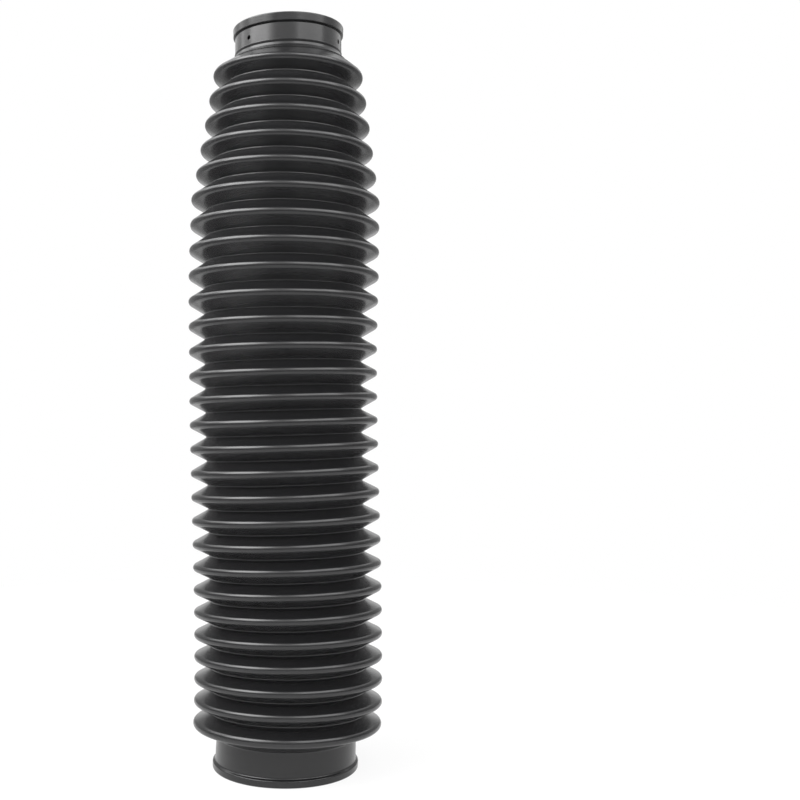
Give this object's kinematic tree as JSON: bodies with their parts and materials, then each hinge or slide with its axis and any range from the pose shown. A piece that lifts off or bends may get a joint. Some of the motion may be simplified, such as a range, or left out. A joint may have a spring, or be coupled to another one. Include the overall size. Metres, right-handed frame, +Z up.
{
  "type": "fork gaiter",
  "caption": "Moulded rubber bellows for a motorcycle fork leg, with a small clamp collar above, a larger one below and breather holes in the upper collar.",
  "frame": {"origin": "centre of the bottom rim, on the surface that the gaiter stands on", "axes": "+Z up along the fork leg, from the large bottom collar to the small top collar; +X to the right and the front towards -Y"},
  "size_m": [0.083, 0.083, 0.325],
  "materials": {
    "moulded_rubber": "satin moulded"
  },
  "bodies": {
    "root": {"gaiter": "moulded_rubber"}
  },
  "joints": []
}
